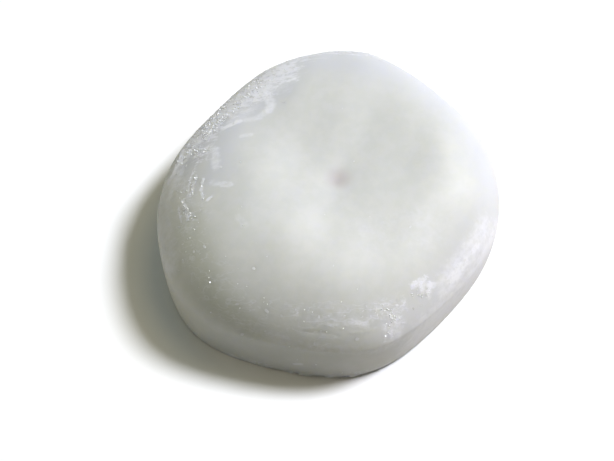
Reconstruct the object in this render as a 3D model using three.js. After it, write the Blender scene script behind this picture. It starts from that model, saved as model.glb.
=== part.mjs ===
// A round rice cake. Steamed glutinous rice is pounded to a smooth dough, and a ball of it is rolled
// in starch and pressed flat by hand. It sags a little as it cools: the foot is flat, the side
// bulges, the shoulder is broad and soft, and a fingertip has pressed a hollow into the top.
// Sizes are in millimetres and angles in degrees. +Z is up, and the foot rests on z = 0. An angle
// round the cake is counted from +X towards +Y.

import * as THREE from "three";

// Driving sizes
const crownHeight = 25.7; // foot to the top of the dome, before the hollow is pressed in
const girdleHeight = 9.4; // where the side stands out furthest
const pinch = new THREE.Vector2(0.1, -2.8); // the middle of the dome, where the fingertip went in

// How far the side reaches from the middle of the foot: soft corners, with flatter stretches between
const outline = [
  { angle: 15, reach: 29.1 },
  { angle: 48, reach: 28.5 },
  { angle: 81, reach: 32.1 },
  { angle: 111, reach: 31.5 },
  { angle: 141, reach: 29.2 },
  { angle: 168, reach: 30.6 },
  { angle: 196, reach: 32.3 },
  { angle: 222, reach: 33.6 },
  { angle: 248, reach: 31.3 },
  { angle: 281, reach: 30.8 },
  { angle: 315, reach: 28.2 },
  { angle: 346, reach: 29.2 },
];

// The dough tucks in under the side, more on one side than on the other
const tuck = { mean: 2.1, swing: 1.8, towards: 63 };
const tuckFullness = 2.3; // exponent of the curve from the foot to the girdle

// The dome is fullest, with its tightest shoulder, towards one corner, less so towards the opposite
// corner, and least between the two
const domeFullness = { mean: 2.23, swing: 0.41, oval: 0.23, towards: 34 };
const sideLean = 0.77; // below 1, the side leans inwards sooner as it rises

// Hollows and swellings of the top: place, half-widths along and across `angle`, and height
const swells = [
  { at: [0.2, -2.8], half: [1.9, 1.5], angle: 60, rise: -0.3 }, // the fingertip's pit
  { at: [1.0, 0.7], half: [19.1, 25.3], angle: 30, rise: -6.2 }, // the broad hollow round it
];

// Unevenness left by the hands: waves over the whole cake, too long and low to be seen one by one
const handWaves = [
  { length: 17, angle: 25, height: 0.15 },
  { length: 13, angle: 105, height: 0.12 },
  { length: 9.5, angle: 160, height: 0.07 },
];

// Facets
const facetsRound = 120;
const ringsUnder = 8; // foot edge to girdle
const ringsOver = 32; // girdle to pinch
const crowding = 1.15; // above 1, the rings crowd towards the pinch

const radians = THREE.MathUtils.degToRad;

// The girdle, as one closed smooth curve seen from above.
function girdleCurve() {
  const corners = outline.map(({ angle, reach }) => {
    const a = radians(angle);
    return new THREE.Vector3(reach * Math.cos(a), reach * Math.sin(a), girdleHeight);
  });
  return new THREE.CatmullRomCurve3(corners, true, "centripetal");
}

// A value that swings about its mean and is highest in one direction.
function swung({ mean, swing, towards }, angle) {
  return mean + swing * Math.cos(angle - radians(towards));
}

// How full the dome is in one direction.
function fullnessAt(angle) {
  const { mean, swing, oval, towards } = domeFullness;
  const turned = angle - radians(towards);
  return mean + swing * Math.cos(turned) + oval * Math.cos(2 * turned);
}

// How much the hands raised or pressed in the top at a place seen from above.
function swellAt(x, y) {
  let total = 0;
  for (const { at, half, angle, rise } of swells) {
    const a = radians(angle);
    const dx = x - at[0];
    const dy = y - at[1];
    const along = (dx * Math.cos(a) + dy * Math.sin(a)) / half[0];
    const across = (dy * Math.cos(a) - dx * Math.sin(a)) / half[1];
    total += rise * Math.exp(-(along * along + across * across));
  }
  return total;
}

function handWaveAt(x, y) {
  let total = 0;
  for (const { length, angle, height } of handWaves) {
    const a = radians(angle);
    total += height * Math.sin((2 * Math.PI * (x * Math.cos(a) + y * Math.sin(a))) / length);
  }
  return total;
}

// From the foot's edge to the girdle, below one point of the girdle. share runs from 0 to 1.
function underPoint(side, share) {
  const angle = Math.atan2(side.y, side.x);
  const turn = (share * Math.PI) / 2;
  const outward = Math.sin(turn) ** (2 / tuckFullness);
  const upward = 1 - Math.cos(turn) ** (2 / tuckFullness);
  const reach = Math.hypot(side.x, side.y) - swung(tuck, angle) * (1 - outward);
  return new THREE.Vector3(
    reach * Math.cos(angle),
    reach * Math.sin(angle),
    girdleHeight * upward,
  );
}

// From the girdle over the shoulder to the pinch, above one point of the girdle.
function overPoint(side, share) {
  const angle = Math.atan2(side.y - pinch.y, side.x - pinch.x);
  const out = Math.cos((share * Math.PI) / 2) ** crowding;
  const fullness = fullnessAt(angle);
  const dome = (1 - out ** fullness) ** (1 / (sideLean * fullness));
  const x = pinch.x + out * (side.x - pinch.x);
  const y = pinch.y + out * (side.y - pinch.y);
  const z = girdleHeight + (crownHeight - girdleHeight) * dome;
  return new THREE.Vector3(x, y, z + dome * (swellAt(x, y) + handWaveAt(x, y)));
}

// The rings of points that cover the cake, from the foot's edge up and over to just before the pinch.
function rings() {
  const girdle = girdleCurve().getSpacedPoints(facetsRound).slice(0, facetsRound);
  const found = [];
  for (let k = 0; k < ringsUnder; k += 1) {
    found.push(girdle.map((side) => underPoint(side, k / ringsUnder)));
  }
  for (let k = 0; k < ringsOver; k += 1) {
    found.push(girdle.map((side) => overPoint(side, k / ringsOver)));
  }
  return found;
}

// One closed surface: a flat fan for the foot, a band of facets between rings, and a fan at the pinch.
function cakeGeometry() {
  const bands = rings();
  const top = pinch.clone();
  const middle = new THREE.Vector3(0, 0, 0);
  const summit = overPoint(new THREE.Vector3(top.x, top.y, girdleHeight), 1);
  const points = [middle, ...bands.flat(), summit];
  const last = points.length - 1;
  const indexOf = (ring, k) => 1 + ring * facetsRound + (k % facetsRound);
  const faces = [];
  for (let k = 0; k < facetsRound; k += 1) {
    faces.push(0, indexOf(0, k + 1), indexOf(0, k));
    for (let ring = 0; ring + 1 < bands.length; ring += 1) {
      const a = indexOf(ring, k);
      const b = indexOf(ring, k + 1);
      const c = indexOf(ring + 1, k + 1);
      const d = indexOf(ring + 1, k);
      faces.push(a, b, c, a, c, d);
    }
    faces.push(indexOf(bands.length - 1, k), indexOf(bands.length - 1, k + 1), last);
  }
  const geometry = new THREE.BufferGeometry().setFromPoints(points);
  geometry.setIndex(faces);
  geometry.computeBoundingBox();
  const centre = geometry.boundingBox.getCenter(new THREE.Vector3());
  geometry.translate(-centre.x, -centre.y, 0);
  geometry.computeVertexNormals();
  return geometry;
}

const riceDough = new THREE.MeshStandardMaterial({
  name: "rice_dough",
  color: new THREE.Color().setRGB(0.87, 0.875, 0.855, THREE.SRGBColorSpace),
  roughness: 0.62,
  metalness: 0,
});

const cake = new THREE.Mesh(cakeGeometry(), riceDough);
cake.name = "rice_cake";

const model = new THREE.Group();
model.add(cake);

export default model;
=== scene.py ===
import math
import random

import bpy
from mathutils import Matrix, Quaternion, Vector, noise


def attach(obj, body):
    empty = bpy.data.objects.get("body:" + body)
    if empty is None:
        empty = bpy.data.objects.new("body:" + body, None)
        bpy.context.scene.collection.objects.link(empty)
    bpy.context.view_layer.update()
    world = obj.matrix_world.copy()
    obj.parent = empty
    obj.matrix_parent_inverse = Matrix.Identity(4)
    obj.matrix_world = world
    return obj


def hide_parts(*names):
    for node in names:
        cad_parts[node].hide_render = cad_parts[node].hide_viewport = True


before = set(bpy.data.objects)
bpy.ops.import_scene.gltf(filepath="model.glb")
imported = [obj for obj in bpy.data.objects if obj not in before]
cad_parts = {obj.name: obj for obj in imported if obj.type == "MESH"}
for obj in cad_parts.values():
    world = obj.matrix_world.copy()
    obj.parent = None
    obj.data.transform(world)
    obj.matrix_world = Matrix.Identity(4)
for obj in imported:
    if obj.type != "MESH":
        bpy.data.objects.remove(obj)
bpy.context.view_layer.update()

mm = 0.001

# ------------------------------------------------------------------------------------------------
# The camera: it looks down on the cake from the front, from a little over half way up, with a
# portrait lens, and stands still.
# ------------------------------------------------------------------------------------------------
camera_elevation = math.radians(57.29)
camera_distance = 257 * mm
aimed_at = Vector((-3.85, -6.22, 8.0)) * mm
towards_camera = Vector((0, -math.cos(camera_elevation), math.sin(camera_elevation)))
bpy.ops.object.camera_add(
    location=aimed_at + camera_distance * towards_camera,
    rotation=(math.pi / 2 - camera_elevation, 0, 0),
)
camera = bpy.context.object
camera.name = "camera"
camera.data.sensor_width = 36
camera.data.lens = 85
camera.data.clip_start = 10 * mm
bpy.context.scene.camera = camera

# ------------------------------------------------------------------------------------------------
# The light: one round softbox on the right, a little behind the cake, and a window above it. Four
# cards, on the left, behind, and low at the front and the right, throw a little light back.
# Directions are in degrees, from the right-hand side round to the back, and upwards.
# ------------------------------------------------------------------------------------------------
def hang_light(name, azimuth, elevation, distance, width, watts, colour):
    """A round light that faces the cake, at a direction in degrees and a distance in metres."""
    a = math.radians(azimuth)
    e = math.radians(elevation)
    towards = Vector((math.cos(e) * math.cos(a), math.cos(e) * math.sin(a), math.sin(e)))
    bpy.ops.object.light_add(
        type="AREA",
        location=distance * towards,
        rotation=towards.to_track_quat("Z", "Y").to_euler(),
    )
    light = bpy.context.object
    light.name = name
    light.data.shape = "DISK"
    light.data.size = width
    light.data.energy = watts
    light.data.color = colour


hang_light("softbox", 20.0, 52.0, 1.2, 0.35, 17.0, (0.885, 0.907, 1.0))
hang_light("window", 40.0, 65.0, 1.3, 0.8, 3.7, (1.0, 0.873, 0.572))
hang_light("left_card", 180.0, 25.0, 1.3, 0.8, 4.9, (1.0, 0.955, 0.75))
hang_light("back_card", 120.0, 65.0, 1.3, 0.8, 1.0, (0.32, 0.718, 1.0))
hang_light("front_card", 270.0, 8.0, 1.3, 0.8, 1.9, (0.907, 1.0, 0.982))
hang_light("right_card", 328.0, 8.0, 1.3, 0.8, 4.6, (1.0, 0.86, 0.63))

room = bpy.data.worlds.new("room")
room.use_nodes = True
room.node_tree.nodes["Background"].inputs["Color"].default_value = (0.0, 0.0, 0.0, 1.0)
bpy.context.scene.world = room
bpy.context.scene.view_settings.view_transform = "Standard"
bpy.context.scene.view_settings.gamma = 0.8

# ------------------------------------------------------------------------------------------------
# The table: a white sheet, bright enough to burn out round the cake's shadow, over a greyer board.
# The board, not the sheet, is what throws light up at the cake's side, so its foot stays dark.
# ------------------------------------------------------------------------------------------------
table_width = 6.0
board_depth = 0.05 * mm
sheet_white = 0.93
board_grey = 0.45


def plain_finish(name, colour, roughness, shine):
    """A material of one colour."""
    finish = bpy.data.materials.new(name)
    finish.use_nodes = True
    shader = finish.node_tree.nodes["Principled BSDF"]
    shader.inputs["Base Color"].default_value = colour
    shader.inputs["Roughness"].default_value = roughness
    shader.inputs["Specular IOR Level"].default_value = shine
    return finish


def lay_plane(name, height, grey):
    """A wide matt plane at the given height."""
    bpy.ops.mesh.primitive_plane_add(size=table_width, location=(0, 0, height))
    bpy.ops.object.transform_apply(location=True, rotation=True, scale=True)
    plane = bpy.context.object
    plane.name = name
    plane.data.materials.append(plain_finish(name, (grey, grey, grey, 1.0), 0.9, 0.2))
    return plane


sheet = lay_plane("white_sheet", 0.0, sheet_white)
sheet.visible_diffuse = False
sheet.visible_shadow = False
board = lay_plane("grey_board", -board_depth, board_grey)
board.visible_camera = False
board.visible_glossy = False

# ------------------------------------------------------------------------------------------------
# The cake: one lump of pounded rice dough, rolled in starch and pressed flat by hand while warm.
# Its skin is smooth and springy, with a few low folds, and turns rough and chalky where starch has
# dried on it. It is the solid's own form, made finer, and finer still where folds and crust are.
# ------------------------------------------------------------------------------------------------
weld_gap = 0.002 * mm
pairing_angle = math.radians(60)  # triangles that bend less than this are joined in pairs
cuts_in_detail = 2  # each face is cut in nine where there is a fold or starch
starch_margin = 1.5  # how far from a starch line, painted-light films included, the finer skin goes, in spreads of that line
fold_margin = 2.4  # how far from a fold it goes, in half-widths of that fold
least_weight = 0.01  # where a relief has less weight than this, the skin isn't raised


def line(*corners):
    """A line through places given in millimetres: its corners in metres, and its length."""
    points = [Vector(corner) * mm for corner in corners]
    return points, sum((b - a).length for a, b in zip(points, points[1:]))


def distance_to(place, path, reach):
    """How far a place is from a line, or infinity where that is well over the reach."""
    points, length = path
    if (place - points[0]).length > length + reach:
        return math.inf
    nearest = math.inf
    for start, end in zip(points, points[1:]):
        along = end - start
        share = max(0.0, min(1.0, (place - start).dot(along) / along.length_squared))
        nearest = min(nearest, (place - start - share * along).length)
    return nearest


# Folds left by the hands: the line that each follows, its height, its half-width and how ragged
folds = {
    "front_lip": (
        line((-4.6, -29.1, 13.2), (-2.5, -28.9, 13.8), (-0.5, -28.7, 14.2), (2.1, -29.2, 13.7),
             (3.8, -29.6, 13.0), (6.1, -29.3, 12.8), (7.6, -28.8, 12.9)),
        0.07 * mm, 0.30 * mm, 1.0),
    "under_lip": (
        line((-4.4, -29.4, 12.9), (-3.0, -29.5, 13.1), (-1.3, -29.6, 13.0), (1.0, -30.0, 12.7)),
        -0.08 * mm, 0.40 * mm, 0.7),
    "side_fold": (
        line((-26.3, 7.6, 12.6), (-26.9, 4.8, 13.2), (-27.9, 2.2, 12.9), (-29.2, 0.0, 11.6),
             (-30.0, -3.8, 10.6)),
        0.24 * mm, 0.7 * mm, 0.3),
    "side_groove": (
        line((-25.2, 2.7, 15.2), (-26.1, -0.3, 15.1), (-27.5, -2.8, 14.2), (-28.5, -5.7, 13.2)),
        -0.10 * mm, 0.9 * mm, 0.3),
    "front_foot": (
        line((-7.0, -30.3, 0.8), (-3.0, -31.0, 0.7), (3.0, -31.1, 0.7), (6.5, -30.3, 0.7),
             (8.8, -29.5, 0.8)),
        0.36 * mm, 0.50 * mm, 1.7),
    "left_foot": (
        line((-19.5, -25.3, 0.8), (-17.5, -26.4, 0.7), (-14.0, -28.0, 0.7), (-10.2, -29.5, 0.8)),
        0.34 * mm, 0.50 * mm, 1.7),
}
fold_reach = 3  # how far a fold's slopes run, in half-widths
tear_size = 1.1 * mm  # the size of the bits that are missing from a ragged fold
tear_noise = (0.7, 2.0, 3)  # their fall-off, the step in fineness, and the number of layers
mean_tear = 0.45  # how much is missing on the whole

# Lines that both the dried starch and its crystals follow
rim_line = line((-26.3, 5.1, 13.6), (-24.4, 8.0, 14.1), (-22.1, 12.2, 13.9), (-19.4, 16.8, 13.2))
low_crust_line = line((-24.5, 6.0, 14.9), (-21.9, 4.5, 17.0))
high_crust_line = line((-21.7, 8.7, 15.8), (-19.2, 13.1, 15.4))
long_strand_line = line((-23.1, -1.2, 17.4), (-23.6, -3.1, 17.4), (-23.8, -5.0, 17.4))
thin_strand_line = line((-21.8, -2.5, 18.3), (-22.1, -4.8, 18.4), (-21.6, -6.4, 18.6))
corner_chalk_line = line((8.7, -26.1, 15.0), (10.9, -27.1, 13.0))

# Where starch has dried, and, on the side walls, a pale film that is partly painted light: the line
# that it lies along, how far it spreads, how thick it lies, and how rough it is, from a smooth
# milky film (0) to a chalky crust (1)
starch_and_light_groups = {
    "upper_left_crust": [
        (line((-20.8, 14.6, 13.5), (-17.5, 17.0, 14.5), (-13.9, 19.4, 15.6), (-9.6, 22.5, 16.4)),
         4.6 * mm, 1.00, 0.55),
        (rim_line, 2.2 * mm, 0.95, 0.8),
        (low_crust_line, 2.0 * mm, 0.50, 1.0),
        (high_crust_line, 2.4 * mm, 0.55, 1.0),
    ],
    "upper_left_smears": [
        (line((-18.8, 9.5, 17.1), (-17.6, 10.1, 17.4), (-15.8, 10.7, 17.8)), 0.7 * mm, 0.75, 0.2),
        (line((-14.6, 10.8, 18.0), (-12.3, 11.0, 18.4), (-10.9, 12.5, 18.4)), 1.0 * mm, 0.48, 0.1),
        (line((-10.7, 12.4, 18.5), (-10.2, 13.8, 18.4), (-10.9, 15.8, 17.8)), 1.2 * mm, 0.60, 0.1),
        (line((-15.4, 6.6, 18.7), (-13.8, 6.8, 18.9)), 0.6 * mm, 0.45, 0.1),
        (line((-16.5, 13.0, 16.7), (-13.3, 17.4, 16.6), (-8.7, 20.0, 17.4)), 4.0 * mm, 0.48, 0.0),
        (line((-20.1, 4.3, 17.9), (-19.6, -0.1, 18.9)), 1.1 * mm, 0.55, 0.2),
        (line((-20.2, -3.5, 19.1), (-18.6, -4.2, 19.7), (-17.0, -4.6, 20.1)), 0.8 * mm, 0.52, 0.3),
    ],
    "left_strands": [
        (line((-23.1, 2.2, 16.7), (-24.2, -1.4, 16.8), (-24.4, -4.7, 17.0)), 0.30 * mm, 0.75, 0.9),
        (long_strand_line, 0.35 * mm, 1.00, 1.0),
        (thin_strand_line, 0.28 * mm, 0.90, 0.9),
        (line((-25.3, -5.6, 16.5), (-24.8, -7.2, 16.7), (-24.0, -8.8, 17.2), (-24.3, -9.8, 16.8)),
         0.38 * mm, 1.00, 1.0),
        (line((-26.1, -6.1, 15.7), (-25.4, -9.6, 16.0)), 0.28 * mm, 0.80, 0.9),
        (line((-20.1, -6.4, 19.2), (-20.9, -7.0, 18.9)), 0.28 * mm, 0.80, 0.8),
        (line((-26.1, -0.3, 15.1), (-24.7, -6.6, 16.9), (-23.8, -11.4, 17.0)), 1.8 * mm, 0.30, 0.5),
        (line((-15.5, -11.6, 20.6), (-14.1, -13.4, 20.7)), 0.9 * mm, 0.35, 0.0),
    ],
    # partly starch film, partly painted light that brightens the left wall and its rim
    "left_film_and_light": [
        (line((-28.0, 1.9, 13.1), (-29.0, -2.7, 12.6), (-28.9, -8.9, 12.2), (-27.4, -15.0, 12.0)),
         3.4 * mm, 0.66, 0.0),
        (line((-24.0, -8.5, 17.1), (-23.2, -13.5, 16.5), (-20.0, -21.0, 15.0), (-14.8, -25.4, 14.6),
              (-8.4, -27.8, 13.9), (-1.6, -29.2, 13.4)),
         4.5 * mm, 0.11, 1.0),
    ],
    "front_smears": [
        (line((-3.5, -28.0, 14.8), (1.5, -28.4, 14.5), (6.5, -27.8, 14.1)), 1.2 * mm, 0.35, 0.4),
        (line((-15.0, -27.2, 12.3), (-10.0, -29.1, 11.5), (-5.0, -30.6, 10.6), (2.5, -31.3, 10.2),
              (9.3, -30.0, 8.4)),
         1.6 * mm, 0.36, 0.1),
        (line((-5.7, -27.0, 15.4), (-1.7, -27.1, 15.7), (2.4, -27.5, 15.3), (6.6, -26.8, 15.1),
              (11.6, -25.2, 14.4)),
         1.8 * mm, 0.28, 0.6),
        (line((4.2, -28.2, 14.4), (6.1, -28.6, 13.6)), 0.8 * mm, 0.52, 0.2),
        (line((7.7, -26.1, 15.3), (9.2, -25.5, 15.2)), 0.7 * mm, 0.55, 0.3),
        (line((-5.9, -30.7, 3.9), (-4.9, -30.9, 4.4)), 0.5 * mm, 0.80, 0.0),
    ],
    "front_corner_chalk": [
        (line((10.0, -27.9, 12.6), (10.8, -29.0, 9.5)), 2.6 * mm, 0.46, 0.1),
        (corner_chalk_line, 2.0 * mm, 0.40, 0.6),
        (line((9.1, -28.1, 12.9), (9.2, -29.7, 10.4)), 0.40 * mm, 0.62, 0.3),
        (line((10.3, -27.7, 12.7), (10.2, -29.2, 10.5)), 0.40 * mm, 0.62, 0.3),
    ],
    "lower_right_chalk": [
        (line((13.8, -22.1, 15.6), (15.1, -21.1, 15.6), (16.1, -20.3, 15.6)), 0.65 * mm, 0.50, 0.7),
        (line((15.7, -21.0, 15.3), (17.5, -21.2, 14.0)), 0.65 * mm, 0.52, 0.7),
        (line((16.8, -21.1, 14.5), (16.7, -22.7, 13.2)), 0.60 * mm, 0.46, 0.7),
        (line((15.1, -21.6, 15.3), (15.6, -22.5, 14.2)), 0.50 * mm, 0.56, 0.6),
    ],
    # partly starch film, partly painted light that brightens the right shoulder and the lower right
    # wall
    "right_film_and_light": [
        (line((7.6, -13.9, 19.5), (11.8, -12.7, 19.5), (16.9, -12.7, 18.8)), 5.0 * mm, 0.25, 0.0),
        (line((20.5, -19.3, 13.0), (21.9, -17.9, 13.0), (23.0, -16.2, 13.6)), 1.6 * mm, 0.75, 0.2),
        (line((24.7, -14.0, 13.9), (25.4, -13.0, 14.0)), 1.0 * mm, 0.80, 0.1),
        (line((27.0, -10.4, 14.1), (24.7, -14.0, 13.9), (22.2, -17.3, 13.4), (20.0, -20.0, 12.7)),
         3.4 * mm, 0.57, 0.05),
        (line((28.0, -10.9, 9.0), (24.6, -16.2, 7.0), (20.8, -20.8, 6.0), (16.1, -25.4, 5.5)),
         5.8 * mm, 0.82, 0.0),
        (line((29.4, -6.5, 7.5), (30.2, -2.5, 7.0)), 5.0 * mm, 0.45, 0.0),
    ],
    "foot_dust": [
        (line((0.0, -31.2, 0.7), (3.0, -31.1, 0.7), (6.5, -30.3, 0.7), (10.0, -28.9, 0.7)),
         1.1 * mm, 0.35, 1.0),
        (line((-17.5, -26.5, 0.7), (-14.0, -28.0, 0.7), (-10.2, -29.6, 0.8)), 1.1 * mm, 0.35, 1.0),
    ],
    "far_side_starch": [
        (line((8.0, 29.2, 13.8), (-4.1, 29.1, 13.5), (-13.9, 20.8, 14.9)), 4.2 * mm, 0.48, 0.8),
        (line((-7.9, 29.6, 7.1), (5.6, 31.0, 9.4)), 4.0 * mm, 0.40, 0.6),
        (line((22.7, 18.0, 9.4), (29.6, 3.3, 7.1)), 4.6 * mm, 0.30, 0.2),
        (line((-23.6, 14.9, 10.1), (-16.2, 23.1, 11.3)), 3.0 * mm, 0.60, 0.7),
    ],
}
starch_and_light_strokes = [stroke for group in starch_and_light_groups.values() for stroke in group]

# The thin even haze of starch, bluer and a little darker, which also paints shade on the shoulder
# and the left wall: the line it follows, how far it fades out, and how thick it is. One ring goes
# round the shoulder, from the left by the back and the right to the front corner.
shoulder_ring = line(
    (-25.3, 4.3, 14.8), (-23.0, 9.1, 14.8), (-19.3, 15.4, 14.1), (-15.2, 20.4, 14.3),
    (-7.9, 23.9, 16.4), (0.4, 25.2, 17.6), (8.5, 22.8, 18.8), (16.6, 19.7, 17.5),
    (23.5, 12.5, 17.1), (27.3, 3.8, 17.0), (28.6, -2.7, 15.5), (28.6, -6.8, 13.9),
    (27.4, -10.8, 12.8), (24.0, -15.7, 12.8), (20.8, -20.3, 11.1), (16.1, -25.2, 10.2),
    (12.7, -28.0, 8.3))
hazes_and_shade = [
    (shoulder_ring, 9.0 * mm, 1.0),
    (line((-19.8, -0.8, 19.0), (-18.8, 6.4, 17.9), (-14.9, 13.0, 17.4), (-8.7, 17.3, 18.2)),
     6.0 * mm, 0.9),
    (line((-29.5, 0.5, 11.0), (-29.9, -4.8, 10.9), (-29.7, -8.9, 10.7), (-28.2, -15.0, 10.7)),
     3.0 * mm, 1.0),
]

# Painted shade: bare dough made darker and greener where it faces away from the light, on the
# lower-left
# shoulder and the front wall: the line it follows, how far it fades out, and how strong it is
painted_shade_patches = [
    (line((-23.4, -11.5, 17.1), (-21.8, -17.7, 16.7), (-19.2, -23.3, 14.7), (-16.7, -25.6, 13.6),
          (-13.4, -28.2, 11.5)), 5.0 * mm, 0.85),
    (line((-10.1, -29.8, 6.6), (-5.0, -30.9, 7.7), (0.0, -31.5, 7.7)), 4.5 * mm, 0.35),
]

smooth_break_up = 0.22  # how far a smooth film is broken into clumps, and a rough crust
rough_break_up = 0.75
starch_clump = 1.5 * mm
clump_noise = (0.6, 2.1, 4)  # the clumps' fall-off, step in fineness, and number of layers
streak = Vector((0.45, 1.5, 1.0))  # the clumps are drawn out from left to right
edge_rise = 1.2  # how fast a stroke gets thick inwards from its edge, and what it has at the edge
edge_thickness = 0.35


def starch_and_light_at(place):
    """How much starch lies at a place on the skin, with the painted light of the side-wall films,
    and how chalky it is, each from 0 to 1.
    """
    drawn_out = Vector(side * stretch for side, stretch in zip(place, streak))
    ragged = noise.fractal(drawn_out / starch_clump, *clump_noise)
    most = 0.0
    chalky = 0.0
    for path, spread, thickness, roughness in starch_and_light_strokes:
        nearness = 1.0 - distance_to(place, path, 2 * spread) / spread
        if nearness > -1.0:
            break_up = ragged * (smooth_break_up + (rough_break_up - smooth_break_up) * roughness)
            amount = thickness * (min(1.0, edge_rise * nearness + edge_thickness) + break_up)
            most = max(most, amount)
            chalky = max(chalky, roughness * amount)
    return max(0.0, min(1.0, most)), max(0.0, min(1.0, chalky))


def soft_amount(place, patches):
    """How much of some soft-edged patches there is at a place on the skin, from 0 to 1."""
    most = 0.0
    for path, spread, strength in patches:
        share = min(1.0, distance_to(place, path, 2 * spread) / spread)
        most = max(most, strength * (1.0 - share * share * (3.0 - 2.0 * share)))
    return most


def is_detailed(place):
    """Whether a fold or starch is close to a place."""
    return any(
        distance_to(place, path, 2 * spread) < starch_margin * spread
        for path, spread, _, _ in starch_and_light_strokes
    ) or any(
        distance_to(place, path, fold_reach * width) < fold_margin * width
        for path, _, width, _ in folds.values()
    )


bpy.ops.object.select_all(action="DESELECT")
dough = bpy.data.objects.new("pressed_dough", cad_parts["rice_cake"].data.copy())
bpy.context.collection.objects.link(dough)
bpy.context.view_layer.objects.active = dough
dough.select_set(True)
bpy.ops.mesh.customdata_custom_splitnormals_clear()
bpy.ops.object.mode_set(mode="EDIT")
bpy.ops.mesh.select_mode(type="FACE")
bpy.ops.mesh.select_all(action="SELECT")
bpy.ops.mesh.remove_doubles(threshold=weld_gap)
bpy.ops.mesh.tris_convert_to_quads(face_threshold=pairing_angle, shape_threshold=pairing_angle)
bpy.ops.mesh.select_all(action="DESELECT")
bpy.ops.object.mode_set(mode="OBJECT")
finer = dough.modifiers.new("finer", "SUBSURF")
finer.levels = 1
finer.render_levels = 1
bpy.ops.object.modifier_apply(modifier=finer.name)
for face in dough.data.polygons:
    face.select = is_detailed(face.center)
bpy.ops.object.mode_set(mode="EDIT")
bpy.ops.mesh.subdivide(number_cuts=cuts_in_detail)
bpy.ops.object.mode_set(mode="OBJECT")
bpy.ops.object.shade_smooth()


def raise_skin(name, weights, height, texture=None, mid_level=0.0):
    """Raises the skin by a height times a weight for each vertex, and by a texture where given."""
    group = dough.vertex_groups.new(name=name)
    for index, weight in enumerate(weights):
        if weight > least_weight:
            group.add([index], weight, "REPLACE")
    relief = dough.modifiers.new(name, "DISPLACE")
    relief.vertex_group = name
    relief.strength = height
    relief.mid_level = mid_level
    if texture:
        relief.texture = texture
        relief.texture_coords = "LOCAL"
    bpy.ops.object.modifier_apply(modifier=relief.name)


for name, (path, height, half_width, raggedness) in folds.items():
    weights = []
    for vertex in dough.data.vertices:
        share = distance_to(vertex.co, path, fold_reach * half_width) / half_width
        weight = math.exp(-share * share) if share < fold_reach else 0.0
        if weight > 0:
            broken = noise.fractal(vertex.co / tear_size, *tear_noise)
            weight *= max(0.0, min(1.0, 1.0 - raggedness * (mean_tear + broken)))
        weights.append(weight)
    raise_skin(name, weights, height)

starch_and_light, chalk = zip(*(starch_and_light_at(vertex.co) for vertex in dough.data.vertices))
haze_and_shade = [soft_amount(vertex.co, hazes_and_shade) for vertex in dough.data.vertices]
painted_shade = [soft_amount(vertex.co, painted_shade_patches) for vertex in dough.data.vertices]
for name, amounts in {"starch_and_light": starch_and_light, "chalk": chalk, "haze_and_shade": haze_and_shade, "painted_shade": painted_shade}.items():
    dough.data.attributes.new(name, "FLOAT", "POINT").data.foreach_set("value", amounts)

plate_size = 1.1 * mm  # the crust dries in small plates, and stands up as grit where chalky
plate_height = 0.03 * mm
grit_size = 0.9 * mm
grit_height = 0.24 * mm
crust_plates = bpy.data.textures.new("crust_plates", "VORONOI")
crust_plates.noise_scale = plate_size
crust_plates.weight_1 = -1.0
crust_plates.weight_2 = 1.0
raise_skin("crust_plates", starch_and_light, plate_height, crust_plates)
crust_grit = bpy.data.textures.new("crust_grit", "CLOUDS")
crust_grit.noise_scale = grit_size
crust_grit.noise_depth = 3
raise_skin("crust_grit", chalk, grit_height, crust_grit, mid_level=0.45)

dough_finish = bpy.data.materials.new("rice_dough")
dough_finish.use_nodes = True
nodes = dough_finish.node_tree.nodes
link = dough_finish.node_tree.links.new
skin = nodes["Principled BSDF"]
place = nodes.new("ShaderNodeTexCoord").outputs["Object"]


def lumps(size, detail, roughness=0.55, at=place):
    """A noise texture whose lumps are about `size` across."""
    texture = nodes.new("ShaderNodeTexNoise")
    texture.inputs["Scale"].default_value = 1 / size
    texture.inputs["Detail"].default_value = detail
    texture.inputs["Roughness"].default_value = roughness
    link(at, texture.inputs["Vector"])
    return texture.outputs["Fac"]


def scaled(value, low, high, to_low=0.0, to_high=1.0):
    """A value that runs smoothly from to_low to to_high as its input goes from low to high."""
    ramp = nodes.new("ShaderNodeMapRange")
    ramp.interpolation_type = "SMOOTHSTEP"
    ramp.inputs["From Min"].default_value = low
    ramp.inputs["From Max"].default_value = high
    ramp.inputs["To Min"].default_value = to_low
    ramp.inputs["To Max"].default_value = to_high
    link(value, ramp.inputs["Value"])
    return ramp.outputs["Result"]


def joined(a, b, kind="ADD"):
    """Two values added, or joined by another kind of arithmetic."""
    joint = nodes.new("ShaderNodeMath")
    joint.operation = kind
    for socket, value in zip(joint.inputs, (a, b)):
        if isinstance(value, (int, float)):
            socket.default_value = value
        else:
            link(value, socket)
    return joint.outputs["Value"]


def blended(share, first, second):
    """Two colours mixed by a share from 0 to 1."""
    mix = nodes.new("ShaderNodeMix")
    mix.data_type = "RGBA"
    link(share, mix.inputs["Factor"])
    for socket, colour in ((mix.inputs["A"], first), (mix.inputs["B"], second)):
        if isinstance(colour, tuple):
            socket.default_value = colour
        else:
            link(colour, socket)
    return mix.outputs["Result"]


def amount_of(name):
    """A value that each corner of the mesh carries."""
    carried = nodes.new("ShaderNodeAttribute")
    carried.attribute_name = name
    return carried.outputs["Fac"]


bare_dough = (0.648, 0.655, 0.634, 1.0)
cloudy_dough = (0.668, 0.672, 0.656, 1.0)
pinch_shade_dough = (0.605, 0.580, 0.572, 1.0)  # painted shade in the pit round the pinch, a little warmer
# partly the bluer tone of a starch haze, partly painted shade on the shoulder
hazed_and_shaded_dough = (0.633, 0.642, 0.660, 1.0)
# painted shade: darker and greener where the dough faces away from the light
painted_shade_dough = (0.592, 0.600, 0.556, 1.0)
# the colour of dry starch, also the colour of the painted light in the side-wall films
dry_starch = (0.780, 0.785, 0.812, 1.0)
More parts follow.
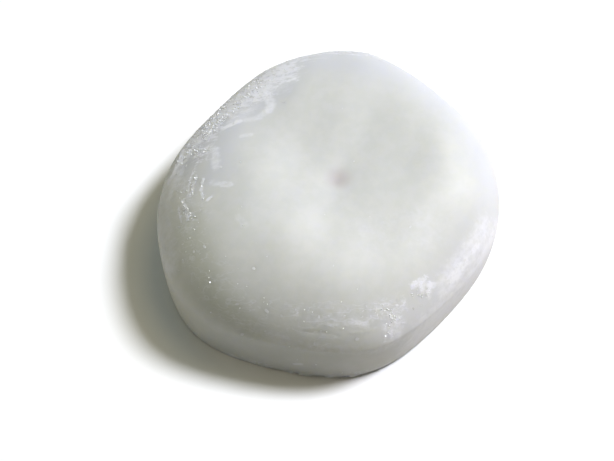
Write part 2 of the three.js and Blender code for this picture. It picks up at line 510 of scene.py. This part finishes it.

# The dough's colour: faintly cloudy, with painted shade in the pit round the pinch, a bluer starch
# haze that also paints shade on the shoulder, and painted shade where the dough faces away from the
# light
pinch_point = (1.6 * mm, -2.9 * mm, 19.2 * mm)
pinch_core = 0.3 * mm
pinch_reach = 3.2 * mm
cloud_size = 2.2 * mm
cloud_contrast = (0.36, 0.64)
cloudiness = scaled(lumps(cloud_size, detail=3.0), *cloud_contrast)
to_pinch = nodes.new("ShaderNodeVectorMath")
to_pinch.operation = "DISTANCE"
to_pinch.inputs[1].default_value = pinch_point
link(place, to_pinch.inputs[0])
# painted shade of the pit: full at the pinch, gone by its reach
pinch_shade = scaled(to_pinch.outputs["Value"], pinch_core, pinch_reach, 1.0, 0.0)
bare_colour = blended(pinch_shade, blended(cloudiness, bare_dough, cloudy_dough), pinch_shade_dough)
# a bluer starch haze, partly painted shade on the shoulder and the left wall
haze_and_shade_colour = blended(amount_of("haze_and_shade"), bare_colour, hazed_and_shaded_dough)
# painted shade on the lower-left shoulder and the front wall
skin_colour = blended(amount_of("painted_shade"), haze_and_shade_colour, painted_shade_dough)

# The starch film, which on the side walls is partly painted light: an even milky layer, whose edge
# is grainy where it is chalky
film_grain_size = 0.8 * mm
film_covers = (0.12, 0.95)  # the amounts of starch that just show, and that hide the dough
edge_grain = joined(lumps(film_grain_size, detail=2.0), 0.5, "SUBTRACT")
edge_grain = joined(edge_grain, scaled(amount_of("chalk"), 0.0, 0.3, 0.45, 1.0), "MULTIPLY")
film_and_light = scaled(joined(amount_of("starch_and_light"), edge_grain), *film_covers)

# Wisps and specks in its chalky parts: thin white lines, drawn out from left to right, and dots
wisp_size = 1.6 * mm
wisp_stretch = (0.45, 1.3, 1.0)
wisp_width = 0.04
wisp_whiteness = 0.65
speck_size = 0.5 * mm
speck_contrast = (0.46, 0.66)
speck_whiteness = 0.6
drawn_out = nodes.new("ShaderNodeMapping")
drawn_out.inputs["Scale"].default_value = wisp_stretch
link(place, drawn_out.inputs["Vector"])
swirls = lumps(wisp_size, detail=2.0, roughness=0.5, at=drawn_out.outputs["Vector"])
off_wisp = joined(joined(swirls, 0.5, "SUBTRACT"), 0.0, "ABSOLUTE")
wisps = scaled(off_wisp, 0.0, wisp_width, 1.0, 0.0)
wisps = joined(wisps, scaled(amount_of("chalk"), 0.0, 0.25), "MULTIPLY")
specks = scaled(lumps(speck_size, detail=2.0), *speck_contrast)
specks = joined(specks, amount_of("chalk"), "MULTIPLY")
chalk_marks = joined(
    joined(wisps, wisp_whiteness, "MULTIPLY"), joined(specks, speck_whiteness, "MULTIPLY"))
whiteness_and_light = joined(film_and_light, chalk_marks)

link(blended(whiteness_and_light, skin_colour, dry_starch), skin.inputs["Base Color"])
link(scaled(film_and_light, 0.0, 1.0, 0.5, 0.85), skin.inputs["Roughness"])
link(scaled(whiteness_and_light, 0.0, 1.0, 1.0, 0.5), skin.inputs["Subsurface Weight"])
skin.inputs["IOR"].default_value = 1.42
skin.inputs["Specular IOR Level"].default_value = 0.4
skin.inputs["Subsurface Radius"].default_value = (1.0, 0.95, 0.72)
skin.inputs["Subsurface Scale"].default_value = 3.0 * mm

skin_grain_size = 0.6 * mm
skin_grain = nodes.new("ShaderNodeBump")
skin_grain.inputs["Distance"].default_value = 0.04 * mm
skin_grain.inputs["Strength"].default_value = 0.4
skin_grain_height = joined(lumps(skin_grain_size, detail=3.0), whiteness_and_light, "MULTIPLY")
link(skin_grain_height, skin_grain.inputs["Height"])
link(skin_grain.outputs["Normal"], skin.inputs["Normal"])

dough.data.materials.clear()
dough.data.materials.append(dough_finish)
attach(dough, "root")
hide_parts("rice_cake")

# ------------------------------------------------------------------------------------------------
# Starch flakes: scraps of the dried film that have lifted a little and lie at a slant on the skin.
# Each is a thin six-cornered chip, and they lie thickest where the crust is.
# ------------------------------------------------------------------------------------------------
flake_count = 420
flake_size = (0.35 * mm, 0.95 * mm)
flake_thickness = 0.16  # as a share of half its size across
flake_corners = (0.7, 1.15)  # how near and how far its corners stand
flake_shrink = (0.6, 1.0)
flake_lift = 0.02 * mm
flake_white = (0.73, 0.735, 0.745, 1.0)
flake_slant = math.radians(9)
flake_seed = 5
foot_height = 2 * mm  # no starch lies loose below this
shoulder_height = 15 * mm
shoulder_band = 6 * mm
shoulder_dusting = 0.006  # how likely a flake is on the shoulder, where there is no crust
stretches = ((0.8, 1.3), (0.45, 0.85), (0.7, 1.0))  # how the length, width and height vary

skin_faces = [f for f in dough.data.polygons if f.center.z > foot_height]
face_chalk = [sum(chalk[k] for k in f.vertices) / len(f.vertices) for f in skin_faces]


def scattered(shape, name, spots, luck):
    """Copies of a shape at (place, outward, size, slant) spots, turned by luck, as one piece."""
    bpy.ops.object.select_all(action="DESELECT")
    for spot, outward, size, slant in spots:
        copy = shape.copy()
        copy.data = shape.data.copy()
        bpy.context.collection.objects.link(copy)
        tilt = Quaternion((luck.uniform(-1, 1), luck.uniform(-1, 1), 0), luck.uniform(0, slant))
        spin = Quaternion((0, 0, 1), luck.uniform(0, math.tau))
        copy.rotation_euler = (outward.to_track_quat("Z", "Y") @ tilt @ spin).to_euler()
        copy.location = spot
        copy.scale = [size / 2 * luck.uniform(*stretch) for stretch in stretches]
        copy.select_set(True)
        bpy.context.view_layer.objects.active = copy
    bpy.data.objects.remove(shape)
    bpy.ops.object.join()
    bpy.ops.object.transform_apply(location=True, rotation=True, scale=True)
    piece = bpy.context.object
    piece.name = name
    return piece


luck = random.Random(flake_seed)
bpy.ops.mesh.primitive_cylinder_add(vertices=6, radius=1.0, depth=flake_thickness)
flake = bpy.context.object
for corner in flake.data.vertices:
    corner.co.x *= luck.uniform(*flake_corners)
    corner.co.y *= luck.uniform(*flake_corners)
bpy.ops.object.shade_flat()

flake_spots = []
flake_weights = []
for face, amount in zip(skin_faces, face_chalk):
    band = max(0.0, 1.0 - abs(face.center.z - shoulder_height) / shoulder_band)
    flake_weights.append(face.area * (amount ** 1.5 + shoulder_dusting * band))
for face in luck.choices(skin_faces, flake_weights, k=flake_count):
    size = luck.uniform(*flake_size) * luck.uniform(*flake_shrink)
    flake_spots.append((face.center + flake_lift * face.normal, face.normal, size, flake_slant))
starch_flakes = scattered(flake, "starch_flakes", flake_spots, luck)

starch_flakes.data.materials.clear()
starch_flakes.data.materials.append(plain_finish("dry_starch", flake_white, 0.8, 0.3))
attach(starch_flakes, "root")

# ------------------------------------------------------------------------------------------------
# Starch crystals: hard white grains that catch the light. Some clumps of them and single large
# ones have places of their own, and the rest cling to the crust by luck.
# ------------------------------------------------------------------------------------------------
crystal_size = (0.20 * mm, 0.48 * mm)
crystal_slant = math.radians(35)
crystal_corners = (0.6, 1.0)  # how near and how far its corners stand
crystal_white = (0.93, 0.94, 0.95, 1.0)
stray_count = 260
stray_shrink = (0.5, 0.9)
stray_dusting = 0.002  # how likely a stray crystal is where there is no crust
crystal_seed = 12

# Clumps of crystals: the line each lies along, how far it spreads, and how many it has
clumps = [
    (low_crust_line, 1.5 * mm, 46),
    (high_crust_line, 1.8 * mm, 80),
    (line((-19.4, 11.8, 15.9), (-17.0, 14.3, 16.1)), 1.4 * mm, 20),
    (line((-15.5, 17.5, 15.5), (-12.3, 19.8, 16.2)), 1.6 * mm, 26),
    (rim_line, 1.5 * mm, 54),
    (line((-19.4, 16.8, 13.2), (-14.5, 21.0, 14.2), (-9.6, 23.5, 15.6)), 1.6 * mm, 32),
    (corner_chalk_line, 1.2 * mm, 24),
    (line((14.1, -23.3, 14.5), (16.6, -22.2, 13.7)), 1.0 * mm, 18),
    (line((9.7, -27.9, 12.8), (9.9, -29.3, 10.5)), 0.8 * mm, 12),
    (line((-25.2, -3.5, 16.4), (-23.3, -11.7, 17.3)), 1.2 * mm, 10),
    (long_strand_line, 0.5 * mm, 8),
    (line((-25.3, -5.6, 16.5), (-24.8, -7.2, 16.7), (-24.0, -8.8, 17.2)), 0.5 * mm, 12),
    (thin_strand_line, 0.5 * mm, 5),
    (line((-22.8, -13.0, 17.0), (-20.0, -19.5, 16.6), (-14.0, -24.0, 16.0)), 3.5 * mm, 7),
]

# Where the single crystals are, in millimetres, with two at the last place
single_size = (0.28 * mm, 0.45 * mm)
single_places = [
    (-26.9, 4.8, 13.2), (-23.8, -3.8, 17.4), (-25.3, -6.0, 16.4), (-24.6, -8.5, 16.8),
    (-22.9, -12.1, 17.5), (-21.7, -5.6, 18.6), (-15.3, -0.0, 20.0), (-14.7, -9.5, 20.7),
    (-14.6, -13.4, 20.7), (-20.2, -6.8, 19.2), (-22.9, -1.5, 17.6), (-24.4, -15.5, 15.5),
    (-17.4, -18.3, 18.7), (-13.9, -22.9, 17.0), (-10.9, -24.9, 16.3), (-20.1, -25.0, 11.9),
    (1.8, -25.8, 16.7), (-4.2, -26.8, 15.8), (-4.4, -28.1, 14.4), (2.1, -29.2, 13.7),
    (-0.6, -29.6, 13.2), (4.6, -23.7, 17.5), (-5.4, -30.9, 6.2), (-2.6, -31.3, 5.0),
    (14.5, -23.0, 14.5), (15.2, -24.3, 12.7), (13.9, -25.0, 13.0), (10.9, -26.8, 13.3),
    (2.1, -31.4, 1.4), (3.6, -31.3, 1.4), (3.6, -31.3, 1.4),
]

luck = random.Random(crystal_seed)
bpy.ops.object.select_all(action="DESELECT")
bpy.ops.mesh.primitive_ico_sphere_add(subdivisions=1, radius=1.0)
crystal = bpy.context.object
for corner in crystal.data.vertices:
    corner.co *= luck.uniform(*crystal_corners)
bpy.ops.object.shade_flat()

crystal_spots = []
for path, spread, count in clumps:
    near = [f for f in skin_faces if distance_to(f.center, path, spread) < spread]
    weights = [f.area * (1 - distance_to(f.center, path, spread) / spread) for f in near]
    for face in luck.choices(near, weights, k=count):
        crystal_spots.append((face.center, face.normal, luck.uniform(*crystal_size), crystal_slant))
stray_weights = [
    f.area * (amount ** 2 + stray_dusting) for f, amount in zip(skin_faces, face_chalk)]
for face in luck.choices(skin_faces, stray_weights, k=stray_count):
    size = luck.uniform(*crystal_size) * luck.uniform(*stray_shrink)
    crystal_spots.append((face.center, face.normal, size, crystal_slant))
for corner in single_places:
    wanted = Vector(corner) * mm
    face = min(skin_faces, key=lambda f: (f.center - wanted).length_squared)
    crystal_spots.append((face.center, face.normal, luck.uniform(*single_size), crystal_slant))
starch_crystals = scattered(crystal, "starch_crystals", crystal_spots, luck)

starch_crystals.data.materials.clear()
starch_crystals.data.materials.append(plain_finish("starch_crystal", crystal_white, 0.25, 0.7))
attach(starch_crystals, "root")
